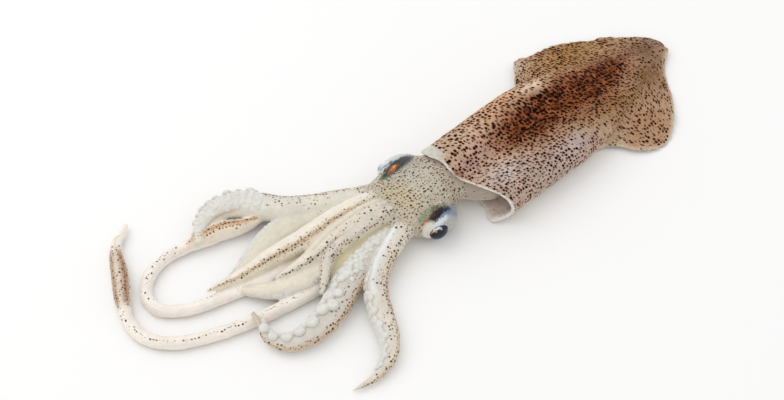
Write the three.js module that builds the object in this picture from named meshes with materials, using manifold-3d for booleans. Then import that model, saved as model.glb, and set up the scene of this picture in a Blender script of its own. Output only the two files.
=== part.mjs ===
// A whole raw squid of the loligo kind, laid belly down on a table, in millimetres.
// +X runs along the mantle from the head to the tail and +Z is up. The origin lies on the table
// under the middle of the mantle. The squid is one piece of flesh, so it is one solid: the mantle with
// its two fins and open mouth, the neck and funnel that go into that mouth, the head with its two eyes,
// eight arms and two long tentacles with their clubs, and the larger suckers.
import * as THREE from "three";
import { mergeVertices } from "three/addons/utils/BufferGeometryUtils.js";
import Module from "manifold-3d";

const wasm = await Module();
wasm.setup();

// The driving sizes. Everything else is a share of them or a place measured on the table.
const mantleLength = 141;
const mantleWidth = 52;
const mantleHeight = 22;
const mantleWall = 1.9;
const mouthDepth = 25;
const finThickness = 2.2;
const headWidth = 41;
const headHeight = 19;
const eyeLens = 6.8;

// How finely the limbs are made: sides round them and millimetres from one section to the next.
const limbSides = 8;
const limbStep = 6.2;

const tailX = mantleLength / 2;
const backLobe = 8.2;
const rimX = backLobe - mantleLength / 2;
const sunk = 1.6; // how far the belly would sag below the table, where it is cut flat
const up = new THREE.Vector3(0, 0, 1);

const mix = (from, to, share) => from + (to - from) * share;
const clamp = (value) => Math.min(1, Math.max(0, value));
const smooth = (value) => clamp(value) ** 2 * (3 - 2 * clamp(value));
const hill = (offset, spread) => Math.exp(-((offset / spread) ** 2));

// A rounder or a squarer circle: the cosine or sine of an ellipse's angle raised to a power, sign kept.
const squared = (value, power) => Math.sign(value) * Math.abs(value) ** power;

// The value at x of a smooth line through [x, value] knots.
function profile(knots) {
  const line = new THREE.CatmullRomCurve3(
    knots.map(([x, value]) => new THREE.Vector3(x, value, 0)),
    false,
    "centripetal",
  );
  const samples = line.getPoints(knots.length * 12);
  return (x) => {
    const next = samples.findIndex((point) => point.x >= x);
    if (next < 0) return samples.at(-1).y;
    if (next === 0) return samples[0].y;
    const [before, after] = [samples[next - 1], samples[next]];
    return mix(before.y, after.y, (x - before.x) / (after.x - before.x));
  };
}

// A solid from a three.js geometry, turned inside out if its faces point inwards.
function solidFrom(geometry) {
  geometry.deleteAttribute("normal");
  geometry.deleteAttribute("uv");
  const merged = mergeVertices(geometry, 1e-3);
  const vertProperties = merged.getAttribute("position").array;
  const triVerts = new Uint32Array(merged.index.array);
  const solid = new wasm.Manifold(new wasm.Mesh({ numProp: 3, vertProperties, triVerts }));
  if (solid.volume() > 0) return solid;
  for (let i = 0; i < triVerts.length; i += 3) {
    [triVerts[i], triVerts[i + 1]] = [triVerts[i + 1], triVerts[i]];
  }
  return new wasm.Manifold(new wasm.Mesh({ numProp: 3, vertProperties, triVerts }));
}

// A closed body drawn from a cylinder's mesh. place(t, a, r) says where each vertex goes: t runs from
// 0 to 1 along the body, a is the angle round it, and r is 1 on the skin and 0 in the middle of an end.
function shapedBody(sides, steps, place) {
  const geometry = new THREE.CylinderGeometry(1, 1, 1, sides, steps);
  const position = geometry.getAttribute("position");
  const vertex = new THREE.Vector3();
  for (let i = 0; i < position.count; i++) {
    vertex.fromBufferAttribute(position, i);
    const r = Math.round(Math.hypot(vertex.x, vertex.z));
    const turn = Math.round((Math.atan2(vertex.x, vertex.z) / (2 * Math.PI)) * sides);
    const a = (2 * Math.PI * ((turn + sides) % sides)) / sides;
    const { x, y, z } = place(0.5 - vertex.y, a, r);
    position.setXYZ(i, x, y, z);
  }
  return solidFrom(geometry);
}

// The ball of an eye, a lens or a sucker, as an ellipsoid.
function ball(centre, radii, across = 10, turn = 0) {
  const geometry = new THREE.SphereGeometry(1, across, Math.ceil(across * 0.6));
  geometry.scale(...radii);
  geometry.rotateZ(turn);
  geometry.translate(...centre);
  return solidFrom(geometry);
}

// The mantle's half width and height along it, as shares of its own, and the lobes of its rim.
const mantleHalf = profile([
  [-85, 0.495], [-62, 0.495], [-30, 0.5], [-8, 0.49], [12, 0.42], [34, 0.28], [54, 0.13], [66, 0.06],
  [72, 0.03],
]);
const mantleRise = profile([
  [-85, 0.97], [-62, 0.97], [-35, 1], [-8, 0.93], [14, 0.73], [36, 0.47], [56, 0.28], [72, 0.16],
]);
const rimLobes = [
  { at: 0.5 * Math.PI, reach: backLobe, spread: 0.3 },
  { at: 0.2 * Math.PI, reach: 3.2, spread: 0.4 },
  { at: 1.3 * Math.PI, reach: 3, spread: 0.36 },
];

// A section's roundness: 1 is an ellipse, and less is squarer. The belly lies flatter on the table.
const backRound = 0.86;
const bellyRound = 0.72;

// Where the rim lies at an angle: a pointed lobe on the back's midline, a soft one on the far shoulder and
// one where the near side of the belly spreads on the table.
function rimAt(a) {
  return rimLobes.reduce((x, { at, reach, spread }) => x - reach * hill(a - at, spread), rimX);
}

function mantlePoint(x, a, r, wall) {
  const half = mantleHalf(x) * mantleWidth - wall;
  const top = mantleRise(x) * mantleHeight - wall;
  const bottom = wall ? wall - 0.5 : -sunk;
  const y = half * squared(Math.cos(a), Math.sin(a) < 0 ? bellyRound : backRound) * r;
  const z = (top + bottom) / 2 + ((top - bottom) / 2) * squared(Math.sin(a), backRound) * r;
  return new THREE.Vector3(x, y, z);
}

function mantle() {
  return shapedBody(28, 20, (t, a, r) => {
    const x = mix(r ? rimAt(a) : rimX, tailX, 1 - (1 - t) ** 1.15);
    return mantlePoint(x, a, r, 0);
  });
}

// The space inside the rim, which narrows to where the neck and the guts fill the mantle.
function mouth() {
  const ahead = 6;
  const [floor, floorShare] = [rimX + mouthDepth, 0.6];
  return shapedBody(24, 4, (t, a, r) => {
    const start = (r ? rimAt(a) : rimX) - ahead;
    const narrowed = mix(1, floorShare, smooth(2 * t - 1));
    return mantlePoint(mix(start, floor, t), a, r * narrowed, mantleWall);
  });
}

// The two fins. Each margin is seen from above: [x, distance from the midline].
const fins = [
  {
    side: -1,
    startX: -3,
    marginZ: 1.4,
    margin: profile([
      [-4, 21], [3, 23.5], [9, 29], [15, 37], [24, 41.6], [31, 41], [43, 32], [53, 20.5], [58, 11], [66, 4],
      [72, 1.5],
    ]),
  },
  {
    side: 1,
    startX: -5,
    marginZ: 2.6,
    margin: profile([
      [-6, 21], [-2, 31], [3, 36.4], [9, 42.6], [18, 41.4], [28, 37.6], [40, 31.8], [47, 27.2], [53, 25.4],
      [61, 17.8], [69, 10.4], [72, 2],
    ]),
  },
];
const finWave = { height: 0.8, turns: 0.21 };

// A fin: a thin flap that grows from high inside the mantle's flank and droops to the table at its margin.
function fin({ side, startX, marginZ, margin }) {
  return shapedBody(12, 16, (t, a, r) => {
    const x = mix(startX, tailX + 0.6, t);
    const out = 0.5 + 0.5 * Math.cos(a) * r;
    const inner = mantleHalf(x) * mantleWidth * 0.5;
    const rootZ = mantleRise(x) * mantleHeight * mix(0.55, 0.72, t);
    const wave = finWave.height * Math.sin(x * finWave.turns + side) * out ** 3;
    const half = (finThickness / 2) * mix(1.5, 0.75, out);
    const y = side * mix(inner, Math.max(margin(x), inner + 1), out);
    return new THREE.Vector3(x, y, mix(rootZ, marginZ, smooth(out)) + wave + half * Math.sin(a) * r);
  });
}

// The head and neck, by place along the body: where the middle lies, and the half width and half height as
// shares of the head's. The neck narrows behind the head and widens again to fill the mantle's mouth.
const headMiddle = profile([
  [-108, 12], [-98, 11], [-88, 9.8], [-78, 10.6], [-72, 11.6], [-66, 8.4], [-59, 5], [-50, 2.8], [-34, 2],
]);
const headHalf = profile([
  [-108, 0.3], [-100, 0.41], [-92, 0.47], [-84, 0.485], [-77, 0.455], [-72.5, 0.395], [-69.5, 0.36],
  [-65, 0.4], [-59, 0.44], [-48, 0.41], [-34, 0.27],
]);
const headRise = profile([
  [-108, 0.29], [-100, 0.42], [-90, 0.5], [-80, 0.49], [-72, 0.4], [-69, 0.36], [-62, 0.37], [-34, 0.33],
]);
const headLift = profile([[-108, 7.6], [-88, 8.6], [-76, 8.8], [-69, 9.8], [-60, 10], [-34, 10]]);
const headRound = 0.92;
const [neckEnd, headFront] = [-36, -107];

function head() {
  return shapedBody(20, 16, (t, a, r) => {
    const x = mix(neckEnd, headFront, t);
    const y = headMiddle(x) + headHalf(x) * headWidth * squared(Math.cos(a), headRound) * r;
    const z = headLift(x) + headRise(x) * headHeight * squared(Math.sin(a), headRound) * r;
    return new THREE.Vector3(x, y, z);
  });
}

// The funnel: a soft flat cone under the neck, its end pressed to the table.
const funnelBase = { x: -44, y: 3.5, z: 4, half: 9, rise: 4.2 };
const funnelEnd = { x: -80, y: 7, z: 2.6, half: 5.5, rise: 2.8 };

function funnel() {
  return shapedBody(12, 6, (t, a, r) => {
    const at = (key) => mix(funnelBase[key], funnelEnd[key], t);
    const y = at("y") + at("half") * Math.cos(a) * r;
    const z = at("z") + at("rise") * Math.sin(a) * r;
    return new THREE.Vector3(at("x"), y, z);
  });
}

const eyes = [
  { centre: [-83.5, 23.6, 9.4], radii: [10, 8.4, 8.2], lens: [-84.8, 30.2, 10.6] },
  { centre: [-88, -3.8, 8.6], radii: [10.2, 8.8, 8.4], lens: [-90.4, -11, 8.8] },
];
const eyeTurn = -0.14;

function eye({ centre, radii, lens }) {
  const bulge = ball(centre, radii, 14, eyeTurn);
  return bulge.add(ball(lens, [0.6 * eyeLens, 0.4 * eyeLens, 0.5 * eyeLens], 10, eyeTurn));
}

// The eight arms and two tentacles. Each route runs over the table from inside the head to the tip.
// root, belly and tip are half widths, bellyAt is the share of the length where it is widest, and flat is the
// height as a share of the width. suckers says from where to where they show, on which side (the angle from
// straight up, towards the left of the route), how far the two rows stand apart and their radius. club says
// where a tentacle's club starts and its half width.
const limbs = {
  outerFarArm: {
    route: [
      [-88, 20, 9], [-105, 31, 7.5], [-118, 39, 6.2], [-130, 46.5, 5.6], [-139, 56, 5.4], [-149, 64, 5.6],
      [-160, 65.6, 5.8], [-170, 62, 6], [-174.6, 56.5, 6.4],
    ],
    root: 5, belly: 5.4, bellyAt: 0.62, tip: 1.3, flat: 0.82,
    suckers: { from: 0.5, to: 0.97, side: -0.9, apart: 0.62, radius: 2, count: 11 },
  },
  secondFarArm: {
    route: [
      [-91, 19, 9], [-110, 29, 6.5], [-123, 35.2, 5.4], [-134, 39, 4.8], [-147, 39.6, 4.4], [-160, 36.4, 4],
      [-172, 34, 3.4], [-184, 33.6, 3],
    ],
    root: 5, belly: 7.4, bellyAt: 0.6, tip: 1, flat: 0.56,
    suckers: { from: 0.46, to: 0.9, side: -1.35, apart: 0.3, radius: 1.5, count: 10 },
  },
  longMiddleArm: {
    route: [
      [-92, 15, 12], [-108, 21, 11.4], [-122, 24, 9.8], [-140, 25.4, 8.4], [-157, 28.2, 7.2], [-173, 30, 6.6],
      [-188.5, 33.4, 6.9],
    ],
    root: 4.8, belly: 5.2, bellyAt: 0.5, tip: 0.9, flat: 0.86,
  },
  shortMiddleArm: {
    route: [
      [-94, 11, 13], [-111, 15.6, 12.2], [-127, 16.6, 11], [-142, 15.6, 9.6], [-153, 16.2, 8.7], [-162, 18, 8],
    ],
    root: 4.6, belly: 4.8, bellyAt: 0.5, tip: 0.9, flat: 0.85,
  },
  broadUnderArm: {
    route: [
      [-97, 10, 8], [-122, 12.6, 6], [-140, 11, 4.8], [-153, 10.6, 4.4], [-164, 14.6, 4.4], [-172, 21.6, 4.2],
      [-177.5, 28.5, 4],
    ],
    root: 5, belly: 6.2, bellyAt: 0.62, tip: 1.2, flat: 0.7,
  },
  bentNearArm: {
    route: [
      [-95, 7, 13], [-109, 7.8, 12.4], [-122, 8.2, 11.6], [-132, 8.8, 10.8], [-139, 8, 10.3], [-145, 3.6, 9.4],
      [-152.4, -2.4, 8],
    ],
    root: 4.6, belly: 4.2, bellyAt: 0.5, tip: 1.3, flat: 0.85,
  },
  curledNearArm: {
    route: [
      [-97, 5, 7.4], [-112, 3.6, 6.6], [-126, 0.6, 6], [-141, -5.4, 5.4], [-153, -11.2, 4.8], [-167, -13.6, 4.2],
      [-178, -10.4, 3.7], [-182.8, -3, 4.2], [-181.6, 5, 6.8], [-181, 10.6, 8],
    ],
    root: 5, belly: 6.6, bellyAt: 0.42, tip: 0.9, flat: 0.8,
    suckers: { from: 0.22, to: 0.86, side: -0.8, apart: 0.6, radius: 2.5, count: 16 },
  },
  outerNearArm: {
    route: [
      [-95, 1, 10], [-107, -1.6, 9], [-119, -6, 6.8], [-130, -13.4, 5.4], [-137.6, -25, 4.6], [-143.4, -37.6, 4],
      [-150.6, -44.8, 3.4], [-160.4, -47.4, 2.4], [-173, -45.6, 1.3],
    ],
    root: 5.4, belly: 5.2, bellyAt: 0.5, tip: 0.5, flat: 0.8,
    suckers: { from: 0.2, to: 0.7, side: -1.05, apart: 0.5, radius: 2, count: 14 },
  },
  loopedTentacle: {
    route: [
      [-96, 16, 5], [-126, 17, 3.4], [-158, 22, 2.6], [-182, 28, 2.6], [-198, 33.2, 2.6], [-208.4, 42, 2.6],
      [-208.4, 50.6, 2.6], [-201.6, 58.6, 2.6], [-190, 62.4, 2.6], [-178, 60, 2.9], [-167, 57, 3.4],
      [-153, 52.2, 3.6], [-141, 50.4, 3],
    ],
    root: 3, belly: 2.9, bellyAt: 0.5, tip: 1, flat: 1,
    club: { from: 0.8, half: 4.3 },
  },
  longTentacle: {
    route: [
      [-100, 8, 5], [-126, 3, 3.2], [-150, 4, 2.7], [-178, 9, 2.7], [-200, 16, 2.7], [-214, 23.6, 2.7],
      [-222, 33.6, 2.7], [-222.4, 45, 2.7], [-218.2, 55.2, 3.2], [-211.3, 66, 3.8], [-204.3, 78.6, 3.4],
      [-199.8, 84.4, 2.8], [-195.6, 85.6, 2.6], [-190.8, 89.6, 2.4],
    ],
    root: 3.2, belly: 3.1, bellyAt: 0.4, tip: 1, flat: 0.96,
    club: { from: 0.7, half: 4.9 },
  },
};

// The half width of a limb at a share of its length: root to belly, then down to the tip, or to a club.
function halfWidthOf({ root, belly, bellyAt, tip, club }, t) {
  if (!club) {
    if (t < bellyAt) return mix(root, belly, smooth(t / bellyAt));
    return mix(belly, tip, ((t - bellyAt) / (1 - bellyAt)) ** 1.5);
  }
  const along = clamp((t - club.from) / (1 - club.from));
  const swelling = Math.sin(Math.PI * along ** 0.7) ** 1.2;
  const stalk = mix(belly, tip, smooth((t - club.from - 0.08) / (1 - club.from - 0.08)));
  return mix(mix(root, belly, t), stalk, smooth(along * 4)) + (club.half - belly) * swelling;
}

// The way sideways and the way up for the section of a limb at a share of its length.
function sectionOf(line, t) {
  const along = line.getTangentAt(t);
  const left = new THREE.Vector3().crossVectors(up, along).normalize();
  return { centre: line.getPointAt(t), left, rise: new THREE.Vector3().crossVectors(along, left) };
}

// The point of a limb at a share of its length and an angle from straight up towards its left.
function limbPoint(limb, line, t, a, r) {
  const { centre, left, rise } = sectionOf(line, t);
  const half = halfWidthOf(limb, t);
  centre.addScaledVector(left, half * Math.sin(a) * r);
  return centre.addScaledVector(rise, half * limb.flat * Math.cos(a) * r);
}

function suckersOf(limb, line) {
  const { from, to, side, apart, radius, count } = limb.suckers;
  return Array.from({ length: count }, (_, i) => {
    const share = i / (count - 1);
    const t = mix(from, to, share);
    const a = side + (i % 2 ? apart : -apart);
    const size = radius * mix(0.8, 1, Math.sin(Math.PI * share ** 0.7)) * mix(1, 0.45, share ** 1.6);
    const centre = limbPoint(limb, line, t, a, 0.96);
    return ball(centre.toArray(), [size, size, size], 6);
  });
}

function limb(data) {
  const points = data.route.map((p) => new THREE.Vector3(...p));
  const line = new THREE.CatmullRomCurve3(points, false, "centripetal");
  const steps = Math.round(line.getLength() / limbStep);
  const core = shapedBody(limbSides, steps, (t, a, r) => limbPoint(data, line, t, a, r));
  return data.suckers ? [core, ...suckersOf(data, line)] : [core];
}

// The whole animal: the flesh joined, the mouth hollowed before the neck goes in, and what would sink into
// the table taken off flat.
const sleeve = mantle().subtract(mouth());
const joined = wasm.Manifold.union([
  sleeve,
  ...fins.map(fin),
  head(),
  funnel(),
  ...eyes.map(eye),
  ...Object.values(limbs).flatMap(limb),
]);
const resting = joined.trimByPlane([0, 0, 1], 0);

function meshOf(solid) {
  const { vertProperties, triVerts, numProp } = solid.getMesh();
  const positions = new Float32Array((vertProperties.length / numProp) * 3);
  for (let i = 0; i < positions.length / 3; i++) {
    positions.set(vertProperties.subarray(i * numProp, i * numProp + 3), i * 3);
  }
  const geometry = new THREE.BufferGeometry();
  geometry.setAttribute("position", new THREE.BufferAttribute(positions, 3));
  geometry.setIndex(new THREE.BufferAttribute(triVerts, 1));
  geometry.computeVertexNormals();
  return geometry;
}

const skin = new THREE.MeshStandardMaterial({ color: 0xd9cdbd, roughness: 0.35, metalness: 0 });
const squid = new THREE.Mesh(meshOf(resting), skin);
squid.name = "squid";

const root = new THREE.Group();
root.add(squid);

export default root;
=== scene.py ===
# A whole raw squid of the loligo kind, lying belly down: wet spotted skin, pale arms and pearly suckers.
# The shapes are worked out in millimetres and made metres when a piece is finished.
import bisect
import math
import random

import bmesh
import bpy
from mathutils import Matrix, Vector, kdtree, noise


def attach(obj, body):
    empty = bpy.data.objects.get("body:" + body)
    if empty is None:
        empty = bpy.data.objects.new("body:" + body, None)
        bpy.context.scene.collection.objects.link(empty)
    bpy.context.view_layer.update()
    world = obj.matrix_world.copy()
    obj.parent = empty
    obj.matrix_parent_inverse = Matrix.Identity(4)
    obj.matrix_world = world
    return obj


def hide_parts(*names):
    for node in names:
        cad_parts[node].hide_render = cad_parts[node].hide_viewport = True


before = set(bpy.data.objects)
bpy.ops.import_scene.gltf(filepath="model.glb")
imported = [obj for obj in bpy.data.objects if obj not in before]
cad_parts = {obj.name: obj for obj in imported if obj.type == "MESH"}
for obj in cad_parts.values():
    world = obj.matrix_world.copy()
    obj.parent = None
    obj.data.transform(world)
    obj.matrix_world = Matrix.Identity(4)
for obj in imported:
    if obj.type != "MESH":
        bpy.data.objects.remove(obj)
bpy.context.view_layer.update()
scene = bpy.context.scene
mm = 0.001
full = 2 * math.pi


def mix(low, high, share):
    return low + (high - low) * share


def clamp(value):
    return min(1.0, max(0.0, value))


def smooth(value):
    value = clamp(value)
    return value * value * (3 - 2 * value)


# How far the value has come from the start, over the length of the change.
def fade(value, start, length):
    return smooth((value - start) / length)


def hill(offset, spread):
    return math.exp(-((offset / spread) ** 2))


def signedPower(value, power):
    return math.copysign(abs(value) ** power, value)


# A screen colour, 0 to 255, as the light in the scene counts it.
def rgb(red, green, blue):
    return Vector([((c / 255 + 0.055) / 1.055) ** 2.4 for c in (red, green, blue)])


# A smooth line through given points, as a row of close places.
def smoothLine(points, steps=14):
    dots = [Vector(p) for p in points]
    dots = [2 * dots[0] - dots[1], *dots, 2 * dots[-1] - dots[-2]]
    line = []
    for before, start, end, after in zip(dots, dots[1:], dots[2:], dots[3:]):
        gaps = ((before, start), (start, end), (end, after))
        k1, k2, k3 = [(b - a).length ** 0.5 for a, b in gaps]
        leave = ((start - before) / k1 - (end - before) / (k1 + k2) + (end - start) / k2) * k2
        arrive = ((end - start) / k2 - (after - start) / (k2 + k3) + (after - end) / k3) * k2
        for step in range(steps):
            t = step / steps
            line.append(
                start * (2 * t**3 - 3 * t**2 + 1) + leave * (t**3 - 2 * t**2 + t)
                + end * (3 * t**2 - 2 * t**3) + arrive * (t**3 - t**2)
            )
    line.append(dots[-2])
    return line


# The value at x of a smooth line through [x, value] knots.
def profile(knots):
    line = smoothLine([(x, value, 0) for x, value in knots])
    xs = [p.x for p in line]

    def at(x):
        i = bisect.bisect_left(xs, x)
        if i == 0 or i == len(xs):
            return line[min(i, len(xs) - 1)].y
        return mix(line[i - 1].y, line[i].y, (x - xs[i - 1]) / (xs[i] - xs[i - 1]))

    return at


# A route's length, and for any share of it the place there and the way it runs.
def route(points):
    line = smoothLine(points)
    gone = [0.0]
    for a, b in zip(line, line[1:]):
        gone.append(gone[-1] + (b - a).length)

    def at(t):
        far = clamp(t) * gone[-1]
        i = min(max(bisect.bisect_right(gone, far) - 1, 0), len(line) - 2)
        share = (far - gone[i]) / (gone[i + 1] - gone[i])
        before = line[i + 1] - line[max(i - 1, 0)]
        after = line[min(i + 2, len(line) - 1)] - line[i]
        way = before.normalized().lerp(after.normalized(), share).normalized()
        return line[i].lerp(line[i + 1], share), way

    return gone[-1], at


# The camera and the light
camera = {"at": (-460.9, -391.1, 709.2), "looksAt": (-90.1, 20.7, 0), "lens": 89.84}
daylight = {"from": (-0.35, 0.7, 1.1), "size": 1.2, "power": 4.4, "sky": 0.87}


def makeCameraAndLight():
    eye = bpy.data.objects.new("camera", bpy.data.cameras.new("camera"))
    eye.location = Vector(camera["at"]) * mm
    eye.rotation_euler = (Vector(camera["looksAt"]) * mm - eye.location).to_track_quat("-Z", "Y").to_euler()
    eye.data.lens = camera["lens"]
    eye.data.clip_start = 0.01
    scene.collection.objects.link(eye)
    scene.camera = eye
    lamp = bpy.data.objects.new("window", bpy.data.lights.new("window", "AREA"))
    lamp.location = daylight["from"]
    lamp.rotation_euler = (-lamp.location).to_track_quat("-Z", "Y").to_euler()
    lamp.data.size = daylight["size"]
    lamp.data.energy = daylight["power"]
    scene.collection.objects.link(lamp)
    scene.world = bpy.data.worlds.new("white room")
    scene.world.use_nodes = True
    sky = scene.world.node_tree.nodes["Background"]
    sky.inputs["Color"].default_value = (1, 1, 1, 1)
    sky.inputs["Strength"].default_value = daylight["sky"]
    scene.view_settings.view_transform = "Standard"
    print("camera and light are set")


# Adds a node; a value that is a socket is wired in, and any other is set on the input.
def add(tree, kind, values=None, **settings):
    made = tree.nodes.new(kind)
    for key, value in settings.items():
        setattr(made, key, value)
    for key, value in (values or {}).items():
        if isinstance(value, bpy.types.NodeSocket):
            tree.links.new(value, made.inputs[key])
        else:
            made.inputs[key].default_value = value
    return made


def sums(tree, operation, *values, use_clamp=False):
    made = add(tree, "ShaderNodeMath", dict(enumerate(values)), operation=operation, use_clamp=use_clamp)
    return made.outputs[0]


def arrows(tree, operation, *values, output=0):
    return add(tree, "ShaderNodeVectorMath", dict(enumerate(values)), operation=operation).outputs[output]


def painted(tree, name, output):
    return add(tree, "ShaderNodeAttribute", attribute_name=name).outputs[output]


def clouds(tree, place, scale, detail=3.0, output="Fac"):
    made = add(tree, "ShaderNodeTexNoise", {"Vector": place, "Scale": scale, "Detail": detail})
    return made.outputs[output]


# The value as it lies between the low and the high, taken over to another range.
def stretch(tree, value, low, high, toLow=0.0, toHigh=1.0, steps="LINEAR"):
    values = {"Value": value, "From Min": low, "From Max": high, "To Min": toLow, "To Max": toHigh}
    return add(tree, "ShaderNodeMapRange", values, interpolation_type=steps).outputs[0]


def blendColours(tree, share, low, high, blend="MIX"):
    made = add(tree, "ShaderNodeMix", data_type="RGBA", blend_type=blend)
    for index, value in ((0, share), (6, low), (7, high)):
        if isinstance(value, bpy.types.NodeSocket):
            tree.links.new(value, made.inputs[index])
        else:
            made.inputs[index].default_value = value if index == 0 else (*value, 1)
    return made.outputs[2]


def newMaterial(name, gloss):
    material = bpy.data.materials.new(name)
    material.use_nodes = True
    tree = material.node_tree
    shader = tree.nodes["Principled BSDF"]
    for key, value in gloss.items():
        shader.inputs[key].default_value = value
    return material, tree, shader


spotShape = {"scatter": 0.72, "onset": 7.0, "haloRise": 0.8, "varies": 0.45, "weakest": 0.4}


# One layer of pigment spots. They are scattered over the skin's own flat coordinates, a spot to a cell, and
# a cell shows its spot where the painted amount is over the cell's own chance.
def spotLayer(tree, skinAt, amount, base, layer):
    spacing = layer["spacing"]
    cells = add(
        tree, "ShaderNodeTexVoronoi",
        {"Vector": skinAt, "Scale": 1 / spacing, "Randomness": spotShape["scatter"]}, voronoi_dimensions="2D",
    )
    chance = add(tree, "ShaderNodeSeparateColor", {0: cells.outputs["Color"]})
    small, large = [size / spacing for size in layer["radius"]]
    radius = sums(tree, "MULTIPLY_ADD", chance.outputs[1], large - small, small)
    inside = sums(tree, "SUBTRACT", radius, cells.outputs["Distance"])
    edge = sums(tree, "MULTIPLY", inside, spacing / layer["edge"], use_clamp=True)
    shown = sums(tree, "SUBTRACT", amount, chance.outputs[0])
    shown = sums(tree, "MULTIPLY", shown, spotShape["onset"], use_clamp=True)
    if "halo" in layer:
        wide, haloColour, haloStrength = layer["halo"]
        around = sums(tree, "ADD", inside, wide / spacing)
        around = sums(tree, "MULTIPLY", around, spotShape["haloRise"] * spacing / wide, use_clamp=True)
        around = sums(tree, "MULTIPLY", sums(tree, "MULTIPLY", around, shown), haloStrength)
        base = blendColours(tree, around, base, rgb(*haloColour))
    least = layer["strength"] - spotShape["weakest"]
    strength = sums(tree, "MULTIPLY_ADD", chance.outputs[2], spotShape["varies"], least)
    mask = sums(tree, "MULTIPLY", sums(tree, "MULTIPLY", edge, shown), strength, use_clamp=True)
    colour = blendColours(tree, chance.outputs[2], rgb(*layer["pale"]), rgb(*layer["dark"]))
    return blendColours(tree, mask, base, colour)


patchShape = {"grain": 900.0, "ragged": 1.6 * mm, "reaches": (1.25, 0.6)}


# One small ragged patch of colour, as round the eyes, with its edge between two shares of its spread.
def patchLayer(tree, place, base, patch):
    (atX, atY), (spreadX, spreadY), colour, strength = patch
    ragged, shift = patchShape["ragged"], patchShape["ragged"] / 2
    noisy = clouds(tree, place, patchShape["grain"], output="Color")
    noisy = arrows(tree, "MULTIPLY_ADD", noisy, (ragged, ragged, 0), place)
    out = arrows(tree, "SUBTRACT", noisy, (atX * mm + shift, atY * mm + shift, 0))
    out = arrows(tree, "MULTIPLY", out, (1 / (spreadX * mm), 1 / (spreadY * mm), 0))
    far = arrows(tree, "LENGTH", out, output="Value")
    share = stretch(tree, far, *patchShape["reaches"], 0.0, strength, "SMOOTHSTEP")
    return blendColours(tree, share, base, colour)


cloudSpan = (0.3, 0.7)  # nearly all of a noise's values lie between these
stainSpan = (0.36, 0.6, 0.15, 1.0)
hueSpan = (0.42, 0.62)
hueScale = 1.7  # the stain's two colours change over shorter ways than the stain itself
waverGrain = 700.0
fibreRun = (0.1, 1.1, 1.0)  # fibres run along the body
fibreBump = 12
bumpDepth = 0.4 * mm


# The colour made lighter and darker where the cloud is, by up to the share reach.
def uneven(tree, colour, cloud, reach):
    level = stretch(tree, cloud, *cloudSpan, 1 - reach, 1 + reach)
    grey = add(tree, "ShaderNodeCombineColor", {0: level, 1: level, 2: level}).outputs[0]
    return blendColours(tree, 1.0, colour, grey, "MULTIPLY")


# Wet skin: the painted tint, uneven in two sizes, clouds of stain, and layers of spots.
def wetSkin(name, look):
    material, tree, shader = newMaterial(name, look["gloss"])
    place = add(tree, "ShaderNodeTexCoord").outputs["Object"]
    spots = add(tree, "ShaderNodeSeparateXYZ", {0: painted(tree, "spots", "Vector")}).outputs
    flat = painted(tree, "skinAt", "Vector")
    waver = arrows(tree, "SUBTRACT", clouds(tree, place, waverGrain, 2.0, "Color"), (0.5, 0.5, 0.5))
    waver = arrows(tree, "MULTIPLY", waver, (look["waver"],) * 3)
    skinAt = arrows(tree, "ADD", flat, waver)
    colour = painted(tree, "tint", "Color")
    for scale, reach in look["mottle"]:
        colour = uneven(tree, colour, clouds(tree, place, scale), reach)
    fibre = clouds(tree, arrows(tree, "MULTIPLY", flat, fibreRun), 1.0)
    colour = uneven(tree, colour, fibre, look["fibre"])
    cloud = clouds(tree, place, look["cloud"], 4.0)
    stained = sums(tree, "MULTIPLY", stretch(tree, cloud, *stainSpan), spots[2])
    hue = stretch(tree, clouds(tree, place, look["cloud"] * hueScale, 2.0), *hueSpan)
    stain = blendColours(tree, hue, *[rgb(*ends) for ends in look["stain"]])
    colour = blendColours(tree, stained, colour, stain)
    for layer in look["layers"]:
        colour = spotLayer(tree, skinAt, spots[layer["amount"]], colour, layer)
    for patch in look.get("patches", []):
        colour = patchLayer(tree, place, colour, patch)
    tree.links.new(colour, shader.inputs["Base Color"])
    grain = clouds(tree, place, look["grain"])
    grain = sums(tree, "MULTIPLY_ADD", fibre, look["fibre"] * fibreBump, grain)
    bump = {"Height": grain, "Strength": look["bump"], "Distance": bumpDepth}
    tree.links.new(add(tree, "ShaderNodeBump", bump).outputs[0], shader.inputs["Normal"])
    tree.links.new(stretch(tree, cloud, *cloudSpan, *look["dry"]), shader.inputs["Roughness"])
    return material


leastGap = 0.1  # rows or sides closer than this are taken as this far apart


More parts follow.
